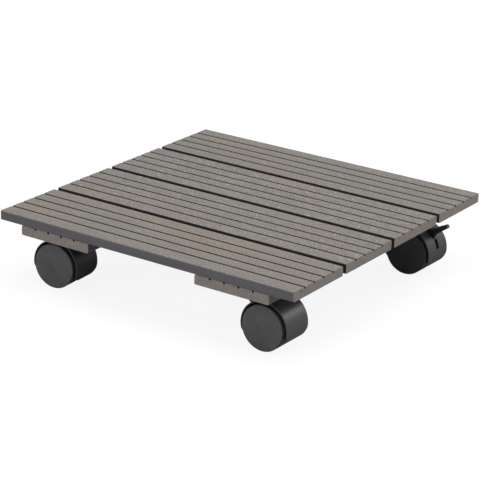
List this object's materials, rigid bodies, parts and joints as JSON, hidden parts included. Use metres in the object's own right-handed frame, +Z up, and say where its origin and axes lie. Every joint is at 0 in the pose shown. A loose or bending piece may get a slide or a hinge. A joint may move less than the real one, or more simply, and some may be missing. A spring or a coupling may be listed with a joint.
{
  "type": "plant caddy",
  "caption": "Square rolling plant stand of grooved composite slats screwed to two cross battens, on hooded twin-wheel swivel casters, the rear ones with brake levers.",
  "frame": {"origin": "on the floor, under the middle of the deck", "axes": "+X to the right along the slats, +Y from the front edge to the back edge with the two braked casters, +Z up"},
  "size_m": [0.3, 0.3024, 0.069],
  "materials": {
    "wood_plastic_composite": "warm grey extruded wood-plastic composite, brushed matt with fine pale specks",
    "hood_plastic": "dark charcoal injection-moulded plastic, satin",
    "wheel_plastic": "dark charcoal moulded plastic, satin faces and a slightly worn tread",
    "lever_plastic": "black moulded plastic, satin",
    "washer_nylon": "natural nylon",
    "zinc_plated_steel": "zinc-plated steel, dull",
    "spring_steel": "bright drawn steel, lightly oiled"
  },
  "bodies": {
    "deck": {"slat_front": "wood_plastic_composite", "slat_middle_front": "wood_plastic_composite", "slat_middle_back": "wood_plastic_composite", "slat_back": "wood_plastic_composite", "batten_left": "wood_plastic_composite", "batten_right": "wood_plastic_composite", "slat_screws": "zinc_plated_steel", "plate_screws": "zinc_plated_steel", "front_right_mounting_plate": "zinc_plated_steel", "front_right_swivel_stem": "zinc_plated_steel", "front_right_thrust_washer": "washer_nylon", "front_right_stem_ring": "spring_steel", "front_left_mounting_plate": "zinc_plated_steel", "front_left_swivel_stem": "zinc_plated_steel", "front_left_thrust_washer": "washer_nylon", "front_left_stem_ring": "spring_steel", "rear_right_mounting_plate": "zinc_plated_steel", "rear_right_swivel_stem": "zinc_plated_steel", "rear_right_thrust_washer": "washer_nylon", "rear_right_stem_ring": "spring_steel", "rear_left_mounting_plate": "zinc_plated_steel", "rear_left_swivel_stem": "zinc_plated_steel", "rear_left_thrust_washer": "washer_nylon", "rear_left_stem_ring": "spring_steel"},
    "front_right_caster": {"front_right_hood": "hood_plastic", "front_right_axle": "spring_steel"},
    "front_right_outer_wheel": {"front_right_outer_wheel": "wheel_plastic"},
    "front_right_inner_wheel": {"front_right_inner_wheel": "wheel_plastic"},
    "front_left_caster": {"front_left_hood": "hood_plastic", "front_left_axle": "spring_steel"},
    "front_left_outer_wheel": {"front_left_outer_wheel": "wheel_plastic"},
    "front_left_inner_wheel": {"front_left_inner_wheel": "wheel_plastic"},
    "rear_right_caster": {"rear_right_hood": "hood_plastic", "rear_right_axle": "spring_steel", "rear_right_lever_pin": "spring_steel"},
    "rear_right_outer_wheel": {"rear_right_outer_wheel": "wheel_plastic"},
    "rear_right_inner_wheel": {"rear_right_inner_wheel": "wheel_plastic"},
    "rear_right_brake_lever": {"rear_right_brake_lever": "lever_plastic"},
    "rear_left_caster": {"rear_left_hood": "hood_plastic", "rear_left_axle": "spring_steel", "rear_left_lever_pin": "spring_steel"},
    "rear_left_outer_wheel": {"rear_left_outer_wheel": "wheel_plastic"},
    "rear_left_inner_wheel": {"rear_left_inner_wheel": "wheel_plastic"},
    "rear_left_brake_lever": {"rear_left_brake_lever": "lever_plastic"}
  },
  "joints": [
    {"name": "front_right_swivel", "type": "hinge", "parent": "deck", "child": "front_right_caster", "pos_m": [0.0869, -0.1114, 0.0422], "axis": [0, 0, 1], "continuous": true},
    {"name": "front_right_outer_wheel_spin", "type": "hinge", "parent": "front_right_caster", "child": "front_right_outer_wheel", "pos_m": [0.1069, -0.1115, 0.02], "axis": [0.0052, 1, 0], "continuous": true},
    {"name": "front_right_inner_wheel_spin", "type": "hinge", "parent": "front_right_caster", "child": "front_right_inner_wheel", "pos_m": [0.1069, -0.1115, 0.02], "axis": [0.0052, 1, 0], "continuous": true},
    {"name": "front_left_swivel", "type": "hinge", "parent": "deck", "child": "front_left_caster", "pos_m": [-0.0922, -0.1088, 0.0422], "axis": [0, 0, 1], "continuous": true},
    {"name": "front_left_outer_wheel_spin", "type": "hinge", "parent": "front_left_caster", "child": "front_left_outer_wheel", "pos_m": [-0.11215, -0.11016, 0.02], "axis": [0.068, -0.9977, 0], "continuous": true},
    {"name": "front_left_inner_wheel_spin", "type": "hinge", "parent": "front_left_caster", "child": "front_left_inner_wheel", "pos_m": [-0.11215, -0.11016, 0.02], "axis": [0.068, -0.9977, 0], "continuous": true},
    {"name": "rear_right_swivel", "type": "hinge", "parent": "deck", "child": "rear_right_caster", "pos_m": [0.0918, 0.111, 0.0422], "axis": [0, 0, 1], "continuous": true},
    {"name": "rear_right_outer_wheel_spin", "type": "hinge", "parent": "rear_right_caster", "child": "rear_right_outer_wheel", "pos_m": [0.1118, 0.11065, 0.02], "axis": [0.0175, 0.9998, 0], "continuous": true},
    {"name": "rear_right_inner_wheel_spin", "type": "hinge", "parent": "rear_right_caster", "child": "rear_right_inner_wheel", "pos_m": [0.1118, 0.11065, 0.02], "axis": [0.0175, 0.9998, 0], "continuous": true},
    {"name": "rear_right_brake_press", "type": "hinge", "parent": "rear_right_caster", "child": "rear_right_brake_lever", "pos_m": [0.1178, 0.11055, 0.027], "axis": [0.0175, 0.9998, 0], "range_deg": [0, 26]},
    {"name": "rear_left_swivel", "type": "hinge", "parent": "deck", "child": "rear_left_caster", "pos_m": [-0.0906, 0.1102, 0.0422], "axis": [0, 0, 1], "continuous": true},
    {"name": "rear_left_outer_wheel_spin", "type": "hinge", "parent": "rear_left_caster", "child": "rear_left_outer_wheel", "pos_m": [-0.11057, 0.11125, 0.02], "axis": [-0.0523, -0.9986, 0], "continuous": true},
    {"name": "rear_left_inner_wheel_spin", "type": "hinge", "parent": "rear_left_caster", "child": "rear_left_inner_wheel", "pos_m": [-0.11057, 0.11125, 0.02], "axis": [-0.0523, -0.9986, 0], "continuous": true},
    {"name": "rear_left_brake_press", "type": "hinge", "parent": "rear_left_caster", "child": "rear_left_brake_lever", "pos_m": [-0.11656, 0.11156, 0.027], "axis": [-0.0523, -0.9986, 0], "range_deg": [0, 26]}
  ]
}
